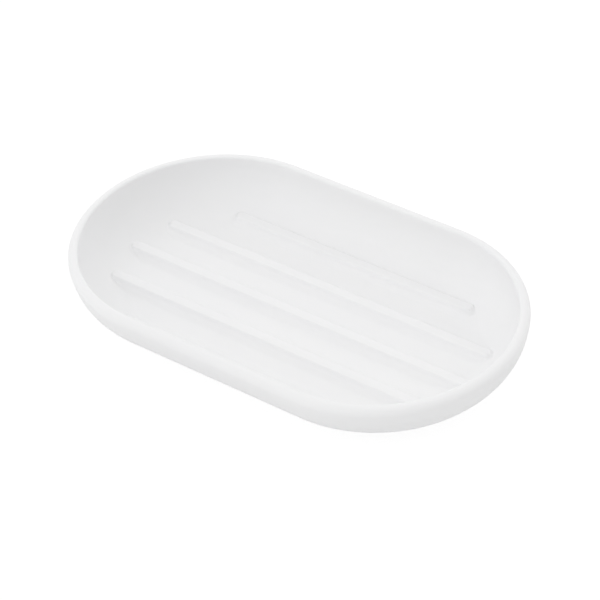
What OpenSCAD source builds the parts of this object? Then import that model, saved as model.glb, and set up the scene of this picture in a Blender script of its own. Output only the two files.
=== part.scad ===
// Soap dish with round ends, five lengthwise ribs and four non-slip feet.
// Origin: on the surface that the dish stands on, below the middle of the dish.
// +X along the length, +Y to the back, +Z up. Millimetres and degrees.

/* [Dish] */
// Overall length
dish_l = 140; // [125:1:180]
// Overall width, and the diameter of the round ends
dish_w = 83; // [79:1:100]
// Height of the rim above the surface that the dish stands on
dish_h = 20; // [19.5:0.5:26]

/* [Rim] */
// Thickness of the wall at the rim
rim_t = 3; // [3:0.1:4]
// Radius of the rim's outer edge
rim_outer_r = 2.2; // [1:0.1:2.2]
// Radius of the rim's inner edge
rim_inner_r = 0.7; // [0.3:0.1:0.7]

/* [Outer wall] */
// Radius of the wide bend from the wall into the belly
wall_bend_r = 13; // [12:0.5:15]
// Distance of that bend from the upright at the dish's edge
wall_bend_in = 0.2; // [0.1:0.1:0.6]
// Lean of the belly below that bend from upright, in degrees
belly_lean = 50; // [45:1:54]
// Radius of the bend from the belly into the flat base
base_bend_r = 8; // [4:0.5:12]

/* [Well] */
// Thickness of the floor
floor_t = 2.7; // [2.5:0.1:4.2]
// Radius of the cove from the floor up to the rim
cove_r = 14; // [10:0.5:14.5]

/* [Ribs] */
// Number of ribs
rib_count = 5; // [1:2:5]
// Distance from one rib to the next
rib_pitch = 13.5; // [10:0.5:14]
// Height of the ribs above the floor
rib_h = 2.2; // [1.6:0.1:2.5]
// Width of the flat along a rib's crest
rib_flat_w = 2.2; // [1.4:0.1:3]
// Radius of the edges of that flat
rib_edge_r = 0.6; // [0.4:0.1:0.7]
// Radius of the hollow from a rib's edge to the floor
rib_hollow_r = 2.6; // [2.2:0.1:4]
// Distance from the dish's edge to the centres of the ribs' round noses
rib_inset = 12.2; // [12:0.1:13]

/* [Feet] */
// Diameter of a foot
foot_d = 10; // [8:0.5:14]
// Height of a foot, from its sole to its glued face
foot_h = 2; // [1.5:0.1:2.5]
// Depth of the seat that a foot is glued into
foot_seat_h = 1; // [0.5:0.1:1.4]
// Clearance round a foot in its seat
foot_gap = 0.15; // [0.1:0.05:0.3]
// Radius of a foot's lower edge
foot_edge_r = 0.5; // [0.2:0.1:0.8]
// Distance from a foot to the edge of the flat base
foot_margin = 4; // [3:0.5:8]
// Direction of a foot from the middle of its round end, in degrees
foot_turn = 60; // [40:1:80]

/* [Hidden] */
$fn = 96;

plastic_white = [0.94, 0.94, 0.94];
silicone_grey = [0.80, 0.82, 0.83];

// How far a cut runs past the face that it opens
overrun = 1;
// How far a rib runs down into the floor
rib_root = 1.5;
// How far a rib's hollows dip below the floor, so that they cross it at an edge
hollow_dip = 0.2;

// Heights of the base's underside and of the floor
under_z = foot_h - foot_seat_h;
floor_z = under_z + floor_t;

// Length of the straight middle, between the centres of the round ends
straight_l = dish_l - dish_w;

// In a section, x is the distance from the centre line and y is the height.
edge_x = dish_w / 2;

// Cove: an arc round cove_c that touches the floor and the upright inner wall
inner_x = edge_x - rim_t;
cove_c = [inner_x - cove_r, floor_z + cove_r];

// Rim edge: an arc round rim_c
rim_c = [edge_x - rim_outer_r, dish_h - rim_outer_r];

// Wall: straight from the rim's arc to a bend round wall_c, level with the cove's centre, and it touches both
wall_c = [edge_x - wall_bend_in - wall_bend_r, cove_c[1]];
wall_run = rim_c - wall_c;
wall_lean = acos((wall_bend_r - rim_outer_r) / norm(wall_run)) - atan2(wall_run[1], wall_run[0]);
wall_out = [cos(wall_lean), -sin(wall_lean)];

// Belly: straight from the wall's bend down to belly_foot on the base's plane
belly_out = [cos(belly_lean), -sin(belly_lean)];
belly_down = [-sin(belly_lean), -cos(belly_lean)];
belly_top = wall_c + wall_bend_r * belly_out;
belly_foot = belly_top + belly_down * (belly_top[1] - under_z) / cos(belly_lean);

// Bend into the base: an arc round base_c that touches the belly and the base
base_run = base_bend_r * tan((90 - belly_lean) / 2);
base_c = [belly_foot[0] - base_run, under_z + base_bend_r];

// Rib: the rounded edge is an arc round rib_edge_c, and the hollow is an arc round rib_hollow_c that touches it
rib_edge_c = [rib_flat_w / 2, rib_h - rib_edge_r];
rib_hollow_y = rib_hollow_r - hollow_dip;
rib_hollow_run = sqrt(pow(rib_edge_r + rib_hollow_r, 2) - pow(rib_hollow_y - rib_edge_c[1], 2));
rib_hollow_c = [rib_edge_c[0] + rib_hollow_run, rib_hollow_y];

// Distance of a foot's axis from the centre of its round end
foot_ring_r = base_c[0] - foot_margin - foot_d / 2;

// What an edge radius takes off a square corner that points to +X and +Y
module corner_waste(r) {
    difference() {
        square(r + overrun);
        circle(r);
    }
}

// Half section of the whole dish without its well
module outer_section() {
    difference() {
        intersection() {
            square([edge_x, dish_h]);
            union() {
                translate(rim_c) circle(rim_outer_r);
                translate(wall_c) circle(wall_bend_r);
                translate(base_c) circle(base_bend_r);
                polygon([
                    [0, under_z],
                    [base_c[0], under_z],
                    base_c,
                    belly_foot - belly_down * base_run,
                    belly_top,
                    wall_c,
                    wall_c + wall_bend_r * wall_out,
                    rim_c + rim_outer_r * wall_out,
                    rim_c,
                    [rim_c[0], dish_h],
                    [0, dish_h]
                ]);
            }
        }
        translate([inner_x + rim_inner_r, dish_h - rim_inner_r]) mirror([1, 0]) corner_waste(rim_inner_r);
    }
}

// Half section of the well: flat floor, cove and upright inner wall
module well_section() {
    well_h = dish_h - floor_z + overrun;
    translate([0, floor_z]) square([cove_c[0], well_h]);
    translate(cove_c) circle(cove_r);
    translate(cove_c) square([cove_r, well_h - cove_r]);
}

// Carries a half section round the dish: two round ends and the straight middle
module round_the_dish() {
    for (side = [0, 1])
        mirror([side, 0, 0])
            translate([straight_l / 2, 0, 0])
                rotate([0, 0, -90])
                    rotate_extrude(angle = 180) children();
    rotate([90, 0, 90])
        linear_extrude(height = straight_l, center = true) {
            children();
            mirror([1, 0]) children();
        }
}

// Half section across a rib: a flat crest from x = 0, a rounded edge and a hollow down to the floor, at y = 0
module rib_section() {
    translate(rib_edge_c) circle(rib_edge_r);
    difference() {
        polygon([
            [0, -rib_root],
            [rib_hollow_c[0], -rib_root],
            rib_hollow_c,
            rib_edge_c,
            [rib_edge_c[0], rib_h],
            [0, rib_h]
        ]);
        translate(rib_hollow_c) circle(rib_hollow_r);
    }
}

// Half the distance between the centres of the noses of a rib at y: they lie on a contour inside the dish's edge
function crest_half_l(y) = straight_l / 2 + sqrt(pow(edge_x - rib_inset, 2) - y * y);

// A level rib along y = 0 with the given half distance between the centres of its round noses
module rib(half_l) {
    rotate([90, 0, 90])
        linear_extrude(height = 2 * half_l, center = true) {
            rib_section();
            mirror([1, 0]) rib_section();
        }
    for (side = [0, 1])
        mirror([side, 0, 0])
            translate([half_l, 0, 0])
                rotate([0, 0, -90])
                    rotate_extrude(angle = 180) rib_section();
}

// Every rib in its place
module ribs() {
    for (i = [0 : rib_count - 1]) {
        y = (i - (rib_count - 1) / 2) * rib_pitch;
        translate([0, y, floor_z]) rib(crest_half_l(y));
    }
}

// Puts its children on the foot axis at the end and side given as -1 or 1
module at_foot(end, side) {
    translate([
        end * (straight_l / 2 + foot_ring_r * cos(foot_turn)),
        side * foot_ring_r * sin(foot_turn),
        0
    ]) children();
}

// The moulding: the well leaves the ribs standing, and their noses end on the foot of the cove
module dish_body() {
    color(plastic_white)
        difference() {
            round_the_dish() outer_section();
            difference() {
                round_the_dish() well_section();
                ribs();
            }
            for (end = [-1, 1], side = [-1, 1])
                at_foot(end, side)
                    translate([0, 0, under_z - overrun])
                        cylinder(h = foot_seat_h + overrun, d = foot_d + 2 * foot_gap);
        }
}

// A silicone disc with a rounded lower edge, glued up into its seat
module foot(end, side) {
    color(silicone_grey)
        at_foot(end, side)
            rotate_extrude()
                difference() {
                    square([foot_d / 2, foot_h]);
                    translate([foot_d / 2 - foot_edge_r, foot_edge_r]) mirror([0, 1]) corner_waste(foot_edge_r);
                }
}

module foot_front_left() {
    foot(-1, -1);
}

module foot_front_right() {
    foot(1, -1);
}

module foot_back_left() {
    foot(-1, 1);
}

module foot_back_right() {
    foot(1, 1);
}

dish_body();
foot_front_left();
foot_front_right();
foot_back_left();
foot_back_right();
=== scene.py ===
"""A white soap dish on a pale studio floor: moulded body, silicone feet, soft light and the camera."""
import logging
import math
from dataclasses import dataclass
from enum import Enum
from typing import Any, Callable, Iterator, Optional

import bmesh
import bpy
import numpy as np
from mathutils import Matrix, Vector


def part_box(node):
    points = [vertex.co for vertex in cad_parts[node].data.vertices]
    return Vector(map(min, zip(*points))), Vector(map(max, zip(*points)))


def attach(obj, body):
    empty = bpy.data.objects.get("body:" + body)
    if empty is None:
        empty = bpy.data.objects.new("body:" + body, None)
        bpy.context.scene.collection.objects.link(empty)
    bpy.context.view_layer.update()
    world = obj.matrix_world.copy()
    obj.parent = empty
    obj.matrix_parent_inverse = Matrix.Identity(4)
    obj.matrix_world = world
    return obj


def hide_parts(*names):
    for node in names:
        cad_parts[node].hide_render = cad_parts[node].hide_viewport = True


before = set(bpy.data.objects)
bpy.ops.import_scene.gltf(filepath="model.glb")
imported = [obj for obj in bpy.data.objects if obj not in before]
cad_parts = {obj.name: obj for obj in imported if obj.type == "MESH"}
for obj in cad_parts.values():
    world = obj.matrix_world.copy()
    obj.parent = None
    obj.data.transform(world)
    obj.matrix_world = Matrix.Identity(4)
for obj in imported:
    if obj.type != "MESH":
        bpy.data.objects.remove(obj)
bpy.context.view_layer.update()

MM = 0.001
WHITE = "#FFFFFF"
# Decimals of a metre to which two rows count as one
ROUNDING = 7
# Faces that meet at less than this angle are shaded as one smooth surface
SMOOTH_ANGLE = math.radians(30)
# Upright share of a normal past which a face counts as level
LEVEL_SHARE = 0.99
ROOT_BODY = "root"
LOG = logging.getLogger("soap_dish")


class Slot(Enum):
    """The record's material slots."""

    PLASTIC = "moulded_plastic"
    SILICONE = "silicone"


class FootPlace(Enum):
    """The four feet, each with the name of the solid that it stands for."""

    FRONT_LEFT = "foot_front_left"
    FRONT_RIGHT = "foot_front_right"
    BACK_LEFT = "foot_back_left"
    BACK_RIGHT = "foot_back_right"


def srgb(code: str) -> tuple[float, float, float, float]:
    """Turns an sRGB hex colour into linear RGBA.

    Args:
        code: Six hex digits after a hash sign.

    Returns:
        Linear red, green, blue and an alpha of one.
    """
    shares = [int(code[i:i + 2], 16) / 255 for i in (1, 3, 5)]
    linear = [s / 12.92 if s <= 0.04045 else ((s + 0.055) / 1.055) ** 2.4 for s in shares]
    return linear[0], linear[1], linear[2], 1.0


def add_node(
    tree: bpy.types.NodeTree,
    kind: str,
    inputs: Optional[dict[Any, Any]] = None,
    links: Optional[dict[Any, bpy.types.NodeSocket]] = None,
    **settings: Any,
) -> bpy.types.Node:
    """Adds a node with its settings, its constants and its links.

    Args:
        tree: Node tree of a material or of the world.
        kind: Type name of the node.
        inputs: Constants by the name or the number of their socket.
        links: Output sockets by the name or the number of the socket that they feed.
        **settings: Attributes of the node itself.

    Returns:
        The new node.
    """
    node = tree.nodes.new(kind)
    for name, value in settings.items():
        setattr(node, name, value)
    for key, value in (inputs or {}).items():
        node.inputs[key].default_value = value
    for key, socket in (links or {}).items():
        tree.links.new(socket, node.inputs[key])
    return node


@dataclass(frozen=True)
class MattPlastic:
    """Polypropylene with a matt white pigment, injection moulded in a finely spark-eroded mould."""

    name: str = "polypropylene_matt_white"
    colour: str = "#F1F1F1"
    shaded_colour: str = "#EFEFF0"
    ior: float = 1.49
    roughness: float = 0.62
    roughness_spread: float = 0.05
    flow_size: float = 28 * MM
    flow_detail: float = 2.0
    flow_roughness: float = 0.4
    grain_size: float = 0.35 * MM
    grain_detail: float = 3.0
    grain_roughness: float = 0.55
    grain_depth: float = 0.004 * MM

    def build(self) -> bpy.types.Material:
        """Makes the material: a soft, even white that shows no highlight, only a faint grain close by.

        Returns:
            The finished material.
        """
        material = bpy.data.materials.new(self.name)
        material.use_nodes = True
        tree = material.node_tree
        tree.nodes.clear()
        place = add_node(tree, "ShaderNodeTexCoord").outputs["Object"]
        # The melt flows in broad, barely visible streaks, a few centimetres across
        flow = add_node(
            tree, "ShaderNodeTexNoise",
            {"Scale": 1 / self.flow_size, "Detail": self.flow_detail, "Roughness": self.flow_roughness},
            {"Vector": place},
        )
        colour = add_node(
            tree, "ShaderNodeMix", {"A": srgb(self.shaded_colour), "B": srgb(self.colour)},
            {"Factor": flow.outputs["Fac"]}, data_type="RGBA",
        )
        # Spark erosion leaves a grain of about 0.05 mm, drawn coarser so that a close view shows it
        grain = add_node(
            tree, "ShaderNodeTexNoise",
            {"Scale": 1 / self.grain_size, "Detail": self.grain_detail, "Roughness": self.grain_roughness},
            {"Vector": place},
        )
        gloss = add_node(
            tree, "ShaderNodeMapRange",
            {
                "To Min": self.roughness - self.roughness_spread,
                "To Max": self.roughness + self.roughness_spread,
            },
            {"Value": grain.outputs["Fac"]},
        )
        bump = add_node(
            tree, "ShaderNodeBump", {"Strength": 1.0, "Distance": self.grain_depth},
            {"Height": grain.outputs["Fac"]},
        )
        shader = add_node(
            tree, "ShaderNodeBsdfPrincipled", {"IOR": self.ior},
            {
                "Base Color": colour.outputs["Result"],
                "Roughness": gloss.outputs["Result"],
                "Normal": bump.outputs["Normal"],
            },
        )
        add_node(tree, "ShaderNodeOutputMaterial", links={"Surface": shader.outputs["BSDF"]})
        return material


@dataclass(frozen=True)
class MilkySilicone:
    """Clear silicone rubber, compression moulded, that looks milky and grips."""

    name: str = "silicone_rubber_milky"
    colour: str = "#D9DCDD"
    haze_colour: str = "#E4E6E6"
    ior: float = 1.43
    roughness: float = 0.42
    depth: float = 1.0 * MM
    share_below: float = 0.35
    haze_size: float = 1.6 * MM
    haze_detail: float = 2.0
    haze_depth: float = 0.01 * MM

    def build(self) -> bpy.types.Material:
        """Makes the material: soft grey-white rubber that light enters a little.

        Returns:
            The finished material.
        """
        material = bpy.data.materials.new(self.name)
        material.use_nodes = True
        tree = material.node_tree
        tree.nodes.clear()
        place = add_node(tree, "ShaderNodeTexCoord").outputs["Object"]
        haze = add_node(
            tree, "ShaderNodeTexNoise", {"Scale": 1 / self.haze_size, "Detail": self.haze_detail},
            {"Vector": place},
        )
        colour = add_node(
            tree, "ShaderNodeMix", {"A": srgb(self.colour), "B": srgb(self.haze_colour)},
            {"Factor": haze.outputs["Fac"]}, data_type="RGBA",
        )
        bump = add_node(
            tree, "ShaderNodeBump", {"Strength": 1.0, "Distance": self.haze_depth},
            {"Height": haze.outputs["Fac"]},
        )
        shader = add_node(
            tree, "ShaderNodeBsdfPrincipled",
            {
                "IOR": self.ior, "Roughness": self.roughness,
                "Subsurface Weight": self.share_below, "Subsurface Scale": self.depth,
            },
            {"Base Color": colour.outputs["Result"], "Normal": bump.outputs["Normal"]},
        )
        add_node(tree, "ShaderNodeOutputMaterial", links={"Surface": shader.outputs["BSDF"]})
        return material


@dataclass(frozen=True)
class StudioPaper:
    """Matt white background paper, which the camera sees as white but for the dish's shadow."""

    name: str = "background_paper_white"
    colour: str = "#F2F2F2"
    glow: float = 1.06
    glow_share: float = 0.88

    def build(self) -> bpy.types.Material:
        """Makes the material: plain white paper, and to the camera nearly as bright as the world behind it.

        Returns:
            The finished material.
        """
        material = bpy.data.materials.new(self.name)
        material.use_nodes = True
        tree = material.node_tree
        tree.nodes.clear()
        paper = add_node(tree, "ShaderNodeBsdfDiffuse", {"Color": srgb(self.colour)})
        white = add_node(tree, "ShaderNodeEmission", {"Color": srgb(WHITE), "Strength": self.glow})
        share = add_node(
            tree, "ShaderNodeMath", {1: self.glow_share}, {0: seen_directly(tree)}, operation="MULTIPLY",
        )
        mixed = add_node(
            tree, "ShaderNodeMixShader",
            links={0: share.outputs[0], 1: paper.outputs[0], 2: white.outputs[0]},
        )
        add_node(tree, "ShaderNodeOutputMaterial", links={"Surface": mixed.outputs[0]})
        return material


def seen_directly(tree: bpy.types.NodeTree) -> bpy.types.NodeSocket:
    """Adds nodes that tell the camera's, mirror's and glass's rays from the light that bounces.

    Args:
        tree: Node tree of the floor's material or of the world.

    Returns:
        A socket that is one for those rays and zero for all others.
    """
    path = add_node(tree, "ShaderNodeLightPath")
    pair = add_node(
        tree, "ShaderNodeMath",
        links={0: path.outputs["Is Camera Ray"], 1: path.outputs["Is Glossy Ray"]}, operation="MAXIMUM",
    )
    every = add_node(
        tree, "ShaderNodeMath",
        links={0: pair.outputs[0], 1: path.outputs["Is Transmission Ray"]}, operation="MAXIMUM",
    )
    return every.outputs[0]


def arc(
    centre: tuple[float, float], radius: float, start: float, end: float, steps: int,
) -> list[tuple[float, float]]:
    """Points along an arc of a section. With one step and no turn, it is the point where the arc starts.

    Args:
        centre: Reach and height of the arc's centre.
        radius: Radius of the arc.
        start: First direction in degrees, from outwards and turning up.
        end: Last direction in degrees.
        steps: Number of steps between them.

    Returns:
        The points after the first one, as reach and height.
    """
    turns = np.radians(np.linspace(start, end, steps + 1))[1:]
    return [(centre[0] + radius * math.cos(t), centre[1] + radius * math.sin(t)) for t in turns]


def deselect_all() -> None:
    """Deselects every object, so that an operator acts on the new piece alone."""
    bpy.ops.object.select_all(action="DESELECT")


def make_active(piece: bpy.types.Object) -> None:
    """Selects one piece alone and makes it the active one."""
    deselect_all()
    piece.select_set(True)
    bpy.context.view_layer.objects.active = piece


def edit_select(piece: bpy.types.Object, wanted: Callable[[bmesh.types.BMFace], bool]) -> None:
    """Selects the faces of a piece in edit mode by their place or normal.

    Args:
        piece: The piece, which is in edit mode with faces as its select mode.
        wanted: Says of a face whether it is selected.
    """
    mesh = bmesh.from_edit_mesh(piece.data)
    for face in mesh.faces:
        face.select_set(wanted(face))
    bmesh.update_edit_mesh(piece.data)


@dataclass
class DishBody:
    """The moulding: rim, walls, cove, floor and ribs in one shell, with four seats under the base.

    A section is given as reach, the distance from the spine between the centres of the two round ends,
    and height above the surface that the dish stands on. The join is the ring in the cove where the
    well's grid ends and the rings of the walls begin.
    """

    node: str = "dish_body"
    rim_thickness: float = 3.0 * MM
    rim_outer_radius: float = 2.2 * MM
    rim_inner_radius: float = 0.7 * MM
    wall_bend_radius: float = 13.0 * MM
    wall_bend_inset: float = 0.2 * MM
    belly_lean: float = 50.0
    base_bend_radius: float = 8.0 * MM
    floor_thickness: float = 2.7 * MM
    cove_radius: float = 14.0 * MM
    rib_count: int = 5
    rib_pitch: float = 13.5 * MM
    rib_height: float = 2.2 * MM
    rib_flat: float = 2.2 * MM
    rib_edge_radius: float = 0.6 * MM
    rib_hollow_radius: float = 2.6 * MM
    rib_inset: float = 12.2 * MM
    rib_blend: float = 5.0
    seat_depth: float = 1.0 * MM
    seat_gap: float = 0.15 * MM
    join_inset: float = 8.0 * MM
    corner_turn: float = 70.0
    columns: int = 241
    end_crowding: float = 0.4
    rows_on_flat: int = 2
    rows_on_edge: int = 5
    rows_in_hollow: int = 6
    rows_on_floor: int = 4
    edge_rows: int = 7
    edge_rows_reach: float = 2.3 * MM
    cove_steps: int = 14
    rim_inner_steps: int = 6
    rim_outer_steps: int = 16
    wall_bend_steps: int = 6
    base_bend_steps: int = 8
    seat_sides: int = 96

    def __post_init__(self) -> None:
        """Takes the overall sizes from the solid and works out the places in the section."""
        low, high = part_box(self.node)
        self.length, self.width = high.x - low.x, high.y - low.y
        self.top, self.underside = high.z, low.z
        self.edge = self.width / 2
        self.spine = (self.length - self.width) / 2
        self.floor = self.underside + self.floor_thickness
        self.join = self.edge - self.join_inset
        self.inner = self.edge - self.rim_thickness
        self.cove_centre = (self.inner - self.cove_radius, self.floor + self.cove_radius)
        # A rib's rounded edge passes over into its hollow where both have the same slope
        both = self.rib_edge_radius + self.rib_hollow_radius
        self.rib_slope = math.acos((both - self.rib_height) / both)
        self.rib_foot = self.rib_flat / 2 + both * math.sin(self.rib_slope)

    def section(self) -> Iterator[tuple[float, float]]:
        """The section from the join in the cove over the rim and down to the edge of the flat base.

        Yields:
            Reach and height of each ring.
        """
        join_turn = -math.degrees(math.acos((self.join - self.cove_centre[0]) / self.cove_radius))
        yield from arc(self.cove_centre, self.cove_radius, join_turn, 0, self.cove_steps)
        inner_round = (self.inner + self.rim_inner_radius, self.top - self.rim_inner_radius)
        yield self.inner, inner_round[1]
        yield from arc(inner_round, self.rim_inner_radius, 180, 90, self.rim_inner_steps)
        rim_round = (self.edge - self.rim_outer_radius, self.top - self.rim_outer_radius)
        yield rim_round[0], self.top
        bend = (self.edge - self.wall_bend_inset - self.wall_bend_radius, self.cove_centre[1])
        run = (rim_round[0] - bend[0], rim_round[1] - bend[1])
        spread = math.acos((self.wall_bend_radius - self.rim_outer_radius) / math.hypot(*run))
        wall_lean = math.degrees(spread - math.atan2(run[1], run[0]))
        yield from arc(rim_round, self.rim_outer_radius, 90, -wall_lean, self.rim_outer_steps)
        yield from arc(bend, self.wall_bend_radius, -wall_lean, -wall_lean, 1)
        yield from arc(bend, self.wall_bend_radius, -wall_lean, -self.belly_lean, self.wall_bend_steps)
        lean = math.radians(self.belly_lean)
        belly_top = (
            bend[0] + self.wall_bend_radius * math.cos(lean),
            bend[1] - self.wall_bend_radius * math.sin(lean),
        )
        foot_reach = belly_top[0] - (belly_top[1] - self.underside) * math.tan(lean)
        run_in = self.base_bend_radius * math.tan((math.pi / 2 - lean) / 2)
        base_bend = (foot_reach - run_in, self.underside + self.base_bend_radius)
        yield from arc(base_bend, self.base_bend_radius, -self.belly_lean, -self.belly_lean, 1)
        yield from arc(base_bend, self.base_bend_radius, -self.belly_lean, -90, self.base_bend_steps)

    def rib_rise(self, x: np.ndarray, y: np.ndarray) -> np.ndarray:
        """Height of the ribs above the floor: a flat crest, rounded edges, hollow sides and round noses.

        Args:
            x: Places along the dish.
            y: Places across the dish.

        Returns:
            The height at each place.
        """
        half_count = (self.rib_count - 1) / 2
        crest_y = np.clip(np.round(y / self.rib_pitch), -half_count, half_count) * self.rib_pitch
        crest_end = self.spine + np.sqrt((self.edge - self.rib_inset) ** 2 - crest_y ** 2)
        off = np.hypot(np.maximum(np.abs(x) - crest_end, 0), y - crest_y)
        past_flat = np.maximum(off - self.rib_flat / 2, 0)
        crest = self.rib_height - self.rib_edge_radius + np.sqrt(
            np.maximum(self.rib_edge_radius ** 2 - past_flat ** 2, 0)
        )
        hollow = self.rib_hollow_radius - np.sqrt(
            np.maximum(self.rib_hollow_radius ** 2 - (self.rib_foot - off) ** 2, 0)
        )
        on_crest = past_flat < self.rib_edge_radius * math.sin(self.rib_slope)
        return np.where(on_crest, crest, np.where(off < self.rib_foot, hollow, 0))

    def well_height(self, x: np.ndarray, y: np.ndarray) -> np.ndarray:
        """Height of the well's surface: floor, ribs and cove, blended where they meet.

        Args:
            x: Places along the dish.
            y: Places across the dish.

        Returns:
            The height at each place.
        """
        reach = np.hypot(np.maximum(np.abs(x) - self.spine, 0), y)
        off = np.clip(reach - self.cove_centre[0], 0, self.cove_radius)
        cove = self.cove_radius - np.sqrt(self.cove_radius ** 2 - off ** 2)
        ribs = self.rib_rise(x, y)
        power = self.rib_blend
        return self.floor + (cove ** power + ribs ** power) ** (1 / power)

    def row_places(self) -> np.ndarray:
        """Places of the straight rows across the dish, which follow the section of each rib.

        Returns:
            The rows' places from front to back.
        """
        flat = np.linspace(0, self.rib_flat / 2, self.rows_on_flat + 1)
        on_edge = np.linspace(0, self.rib_slope, self.rows_on_edge + 1)
        in_hollow = np.linspace(self.rib_slope, 0, self.rows_in_hollow + 1)
        half = np.concatenate([
            flat,
            self.rib_flat / 2 + self.rib_edge_radius * np.sin(on_edge),
            self.rib_foot - self.rib_hollow_radius * np.sin(in_hollow),
            np.linspace(self.rib_foot, self.rib_pitch / 2, self.rows_on_floor + 1),
        ])
        crests = (np.arange(self.rib_count) - (self.rib_count - 1) / 2) * self.rib_pitch
        rows = np.unique(np.round(np.add.outer(crests, np.concatenate([-half, half])), ROUNDING))
        return rows[np.abs(rows) < self.join - self.edge_rows_reach]

    def join_end(self, y: np.ndarray) -> np.ndarray:
        """How far along the dish the join lies at places across it."""
        return self.spine + np.sqrt(self.join ** 2 - y ** 2)

    def join_side(self, shares: np.ndarray) -> tuple[np.ndarray, np.ndarray]:
        """Places along the back of the join, between the two corners of the grid.

        Args:
            shares: Places from left to right, from minus one to one.

        Returns:
            Their places along and across the dish.
        """
        bow = math.radians(90 - self.corner_turn)
        half = self.spine + self.join * bow
        along = shares * half
        turned = np.clip((np.abs(along) - self.spine) / self.join, 0, bow)
        x = np.where(
            np.abs(along) <= self.spine, along, np.sign(along) * (self.spine + self.join * np.sin(turned))
        )
        return x, self.join * np.cos(turned)

    def well_places(self) -> tuple[np.ndarray, np.ndarray]:
        """Places of the well's grid: straight rows along the ribs, then rows that bend to the join.

        Returns:
            The places along and across the dish, a row of each for every row of the grid.
        """
        rows = self.row_places()
        shares = np.linspace(-1, 1, self.columns)
        # Columns stand closer together towards the ends, where the ribs run out
        shares = shares * (1 + self.end_crowding * (1 - shares ** 2))
        x = np.outer(self.join_end(rows), shares)
        y = np.repeat(rows[:, None], self.columns, 1)
        side_x, side_y = self.join_side(shares)
        steps = np.arange(1, self.edge_rows + 1)[:, None] / self.edge_rows
        back_x = x[-1] + (side_x - x[-1]) * steps
        back_y = y[-1] + (side_y - y[-1]) * steps
        # The ends of those rows lie on the join itself
        for end in (0, -1):
            out = np.abs(back_x[:, end]) - self.spine
            pull = self.join / np.hypot(out, back_y[:, end])
            back_x[:, end] = np.sign(back_x[:, end]) * (self.spine + out * pull)
            back_y[:, end] *= pull
        return np.vstack([back_x[::-1], x, back_x]), np.vstack([-back_y[::-1], y, back_y])

    def build(self, feet: list["Foot"]) -> bpy.types.Object:
        """Models the body.

        Args:
            feet: The feet whose seats are cut into the base.

        Returns:
            The body, in place.
        """
        x, y = self.well_places()
        deselect_all()
        rows, columns = x.shape
        bpy.ops.mesh.primitive_grid_add(x_subdivisions=columns - 1, y_subdivisions=rows - 1, size=2)
        body = bpy.context.object
        body.name = body.data.name = "moulded_body"
        places = np.stack([x, y, self.well_height(x, y)], -1)
        body.data.vertices.foreach_set("co", places.ravel())
        body.data.update()
        self.raise_walls(body)
        for foot in feet:
            self.cut_seat(body, foot)
        make_active(body)
        bpy.ops.object.shade_smooth_by_angle(angle=SMOOTH_ANGLE)
        return body

    def raise_walls(self, body: bpy.types.Object) -> None:
        """Extrudes the edge of the well ring by ring along the section, and closes the base.

        Args:
            body: The body, which is the well's surface so far.
        """
        make_active(body)
        bpy.ops.object.mode_set(mode="EDIT")
        bpy.ops.mesh.select_mode(type="EDGE")
        bpy.ops.mesh.select_all(action="SELECT")
        bpy.ops.mesh.region_to_loop()
        for reach, height in self.section():
            bpy.ops.mesh.extrude_edges_move()
            mesh = bmesh.from_edit_mesh(body.data)
            for vertex in (v for v in mesh.verts if v.select):
                centre = Vector((max(-self.spine, min(self.spine, vertex.co.x)), 0))
                out = (vertex.co.xy - centre).normalized()
                vertex.co = (*(centre + reach * out), height)
            bmesh.update_edit_mesh(body.data)
        bpy.ops.mesh.edge_face_add()
        bpy.ops.mesh.select_all(action="SELECT")
        bpy.ops.mesh.normals_make_consistent(inside=False)
        bpy.ops.object.mode_set(mode="OBJECT")

    def cut_seat(self, body: bpy.types.Object, foot: "Foot") -> None:
        """Cuts the round seat of a foot into the base.

        Args:
            body: The closed body.
            foot: The foot that the seat holds.
        """
        deselect_all()
        overrun = self.seat_depth
        bpy.ops.mesh.primitive_cylinder_add(
            vertices=self.seat_sides, radius=foot.radius + self.seat_gap, depth=self.seat_depth + overrun,
            location=(foot.centre.x, foot.centre.y, self.underside + (self.seat_depth - overrun) / 2),
        )
        cutter = bpy.context.object
        make_active(body)
        cut = body.modifiers.new("seat", "BOOLEAN")
        cut.operation, cut.solver, cut.object = "DIFFERENCE", "EXACT", cutter
        bpy.ops.object.modifier_apply(modifier=cut.name)
        bpy.data.meshes.remove(cutter.data)

    def dress(self, body: bpy.types.Object, finish: bpy.types.Material) -> None:
        """Gives the body its finish and joins it to the frame.

        Args:
            body: The finished body.
            finish: The plastic.
        """
        body.data.materials.clear()
        body.data.materials.append(finish)
        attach(body, ROOT_BODY)
        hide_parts(self.node)


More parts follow.
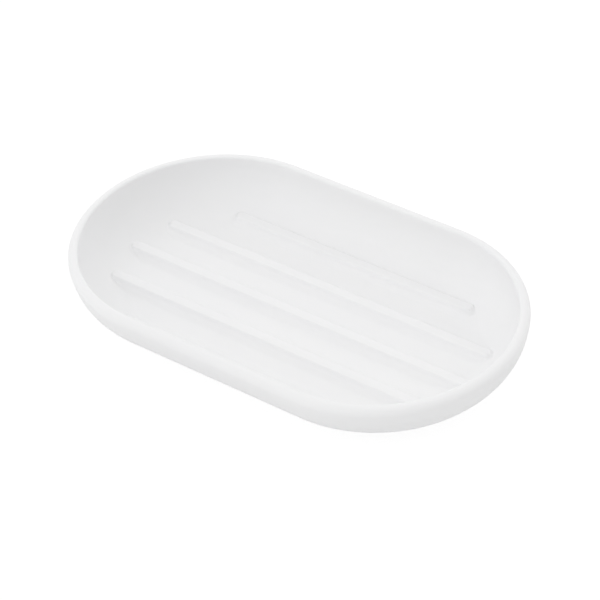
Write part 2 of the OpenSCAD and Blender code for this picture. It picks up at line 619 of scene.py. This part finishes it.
@dataclass
class Foot:
    """A silicone disc with a rounded lower edge and a shallow dish in its sole, which grips."""

    place: FootPlace
    edge_radius: float = 0.5 * MM
    upper_radius: float = 0.15 * MM
    tread: float = 1.4 * MM
    dish_depth: float = 0.25 * MM
    sides: int = 72
    edge_steps: int = 5

    def __post_init__(self) -> None:
        """Takes the sizes and the place from the solid."""
        low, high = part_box(self.place.value)
        self.radius = (high.x - low.x) / 2
        self.height = high.z - low.z
        self.centre = (low + high) / 2

    def build(self) -> bpy.types.Object:
        """Models the foot.

        Returns:
            The foot, in place.
        """
        deselect_all()
        bpy.ops.mesh.primitive_cylinder_add(
            vertices=self.sides, radius=self.radius, depth=self.height,
            location=self.centre, end_fill_type="NGON",
        )
        foot = bpy.context.object
        foot.name = foot.data.name = self.place.value.replace("foot", "silicone_foot")
        bpy.ops.object.transform_apply(location=True, rotation=True, scale=True)
        bpy.ops.object.mode_set(mode="EDIT")
        bpy.ops.mesh.select_mode(type="FACE")
        for sign, width in ((-1, self.edge_radius), (1, self.upper_radius)):
            edit_select(foot, lambda face: face.normal.z * sign > LEVEL_SHARE)
            bpy.ops.mesh.region_to_loop()
            bpy.ops.mesh.bevel(offset=width, segments=self.edge_steps, affect="EDGES")
            bpy.ops.mesh.select_mode(type="FACE")
        edit_select(foot, lambda face: face.normal.z < -LEVEL_SHARE)
        bpy.ops.mesh.inset(thickness=self.tread)
        bpy.ops.mesh.inset(thickness=self.dish_depth)
        bpy.ops.transform.translate(value=(0, 0, self.dish_depth))
        bpy.ops.mesh.select_all(action="SELECT")
        bpy.ops.mesh.normals_make_consistent(inside=False)
        bpy.ops.object.mode_set(mode="OBJECT")
        bpy.ops.object.shade_smooth_by_angle(angle=SMOOTH_ANGLE)
        return foot

    def dress(self, foot: bpy.types.Object, finish: bpy.types.Material) -> None:
        """Gives the foot its finish and joins it to the frame.

        Args:
            foot: The finished foot.
            finish: The silicone.
        """
        foot.data.materials.clear()
        foot.data.materials.append(finish)
        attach(foot, ROOT_BODY)
        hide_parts(self.place.value)


@dataclass(frozen=True)
class Softbox:
    """A broad soft glow in the sky, brightest at its middle.

    Azimuth and elevation are in degrees. The glow falls off as the cosine of the angle from its middle,
    raised to the tightness.
    """

    azimuth: float
    elevation: float
    tightness: float
    strength: float

    def glow(self, tree: bpy.types.NodeTree, towards: bpy.types.NodeSocket) -> bpy.types.NodeSocket:
        """Adds the nodes that say how brightly the softbox shines from each direction.

        Args:
            tree: Node tree of the world.
            towards: The direction that a ray looks in.

        Returns:
            The strength in that direction.
        """
        turn, rise = math.radians(self.azimuth), math.radians(self.elevation)
        middle = (math.cos(turn) * math.cos(rise), math.sin(turn) * math.cos(rise), math.sin(rise))
        facing = add_node(
            tree, "ShaderNodeVectorMath", {1: middle}, {0: towards}, operation="DOT_PRODUCT",
        )
        front = add_node(
            tree, "ShaderNodeMath", {1: 0.0}, {0: facing.outputs["Value"]}, operation="MAXIMUM",
        )
        spread = add_node(
            tree, "ShaderNodeMath", {1: self.tightness}, {0: front.outputs[0]}, operation="POWER",
        )
        return add_node(
            tree, "ShaderNodeMath", {1: self.strength}, {0: spread.outputs[0]}, operation="MULTIPLY",
        ).outputs[0]


@dataclass
class Studio:
    """The pale floor, the soft light round the dish and the camera.

    The softboxes' azimuths turn from the right towards the back.
    """

    floor_radius: float = 3.0
    floor_sides: int = 96
    floor_border: float = 0.05
    azimuth: float = 38.601
    elevation: float = 40.230
    roll: float = -4.536
    distance: float = 0.68513
    frame_pixels: float = 600.0
    focal_pixels: float = 2458.0
    aim_pixel: tuple[float, float] = (293.818, 272.892)
    sensor: float = 36.0
    sky_strength: float = 0.76
    softboxes: tuple[Softbox, ...] = (
        Softbox(240, 60, 16, 1.30),
        Softbox(90, 32, 16, 1.25),
        Softbox(45, 25, 16, 0.25),
        Softbox(230, 18, 3, 0.28),
    )

    def lay_floor(self, finish: bpy.types.Material) -> bpy.types.Object:
        """Lays the floor at the height of the feet's soles.

        Args:
            finish: The background paper.

        Returns:
            The floor.
        """
        deselect_all()
        bpy.ops.mesh.primitive_circle_add(
            vertices=self.floor_sides, radius=self.floor_radius, fill_type="NGON",
        )
        floor = bpy.context.object
        floor.name = floor.data.name = "studio_floor"
        bpy.ops.object.mode_set(mode="EDIT")
        bpy.ops.mesh.select_all(action="SELECT")
        bpy.ops.mesh.inset(thickness=self.floor_border)
        bpy.ops.mesh.normals_make_consistent(inside=False)
        bpy.ops.object.mode_set(mode="OBJECT")
        floor.data.materials.append(finish)
        return floor

    def light(self) -> None:
        """Lights the dish from all round, and more from the softboxes."""
        world = bpy.data.worlds.new("studio_world")
        bpy.context.scene.world = world
        world.use_nodes = True
        tree = world.node_tree
        tree.nodes.clear()
        towards = add_node(tree, "ShaderNodeTexCoord").outputs["Generated"]
        total = add_node(tree, "ShaderNodeValue").outputs[0]
        total.default_value = self.sky_strength
        for softbox in self.softboxes:
            glow = softbox.glow(tree, towards)
            total = add_node(tree, "ShaderNodeMath", links={0: total, 1: glow}).outputs[0]
        soft = add_node(tree, "ShaderNodeBackground", {"Color": srgb(WHITE)}, {"Strength": total})
        white = add_node(tree, "ShaderNodeBackground", {"Color": srgb(WHITE), "Strength": 1.0})
        mixed = add_node(
            tree, "ShaderNodeMixShader",
            links={0: seen_directly(tree), 1: soft.outputs[0], 2: white.outputs[0]},
        )
        add_node(tree, "ShaderNodeOutputWorld", links={"Surface": mixed.outputs[0]})

    def aim_camera(self, target: Vector) -> bpy.types.Object:
        """Sets the camera so that the target lands on the aim pixel, as in the photograph.

        Args:
            target: The middle of the dish at the height of its rim.

        Returns:
            The camera.
        """
        turn, rise, roll = (math.radians(a) for a in (self.azimuth, self.elevation, self.roll))
        back = Vector((math.sin(turn) * math.cos(rise), -math.cos(turn) * math.cos(rise), math.sin(rise)))
        level = Vector((math.cos(turn), math.sin(turn), 0))
        upright = back.cross(level)
        right = math.cos(roll) * level + math.sin(roll) * upright
        up = math.cos(roll) * upright - math.sin(roll) * level
        half = self.frame_pixels / 2
        aside = (self.aim_pixel[0] - half) / self.focal_pixels * self.distance
        below = (self.aim_pixel[1] - half) / self.focal_pixels * self.distance
        place = target - aside * right + below * up + self.distance * back
        deselect_all()
        bpy.ops.object.camera_add(location=place)
        camera = bpy.context.object
        camera.name = camera.data.name = "photo_camera"
        camera.matrix_world = Matrix.Translation(place) @ Matrix((right, up, back)).transposed().to_4x4()
        camera.data.sensor_width = self.sensor
        camera.data.lens = self.focal_pixels * self.sensor / self.frame_pixels
        bpy.context.scene.camera = camera
        bpy.context.scene.view_settings.view_transform = "Standard"
        return camera


def main() -> None:
    """Builds the studio, the body and the feet, and reports each piece."""
    logging.basicConfig(level=logging.INFO, format="%(name)s: %(message)s")
    studio = Studio()
    studio.lay_floor(StudioPaper().build())
    studio.light()
    feet = [Foot(place) for place in FootPlace]
    dish = DishBody()
    studio.aim_camera(Vector((0, 0, dish.top)))
    body = dish.build(feet)
    dish.dress(body, MattPlastic().build())
    LOG.info("%s: %d faces", body.name, len(body.data.polygons))
    silicone = MilkySilicone().build()
    for foot in feet:
        piece = foot.build()
        foot.dress(piece, silicone)
        LOG.info("%s: %d faces", piece.name, len(piece.data.polygons))


if __name__ == "__main__":
    main()
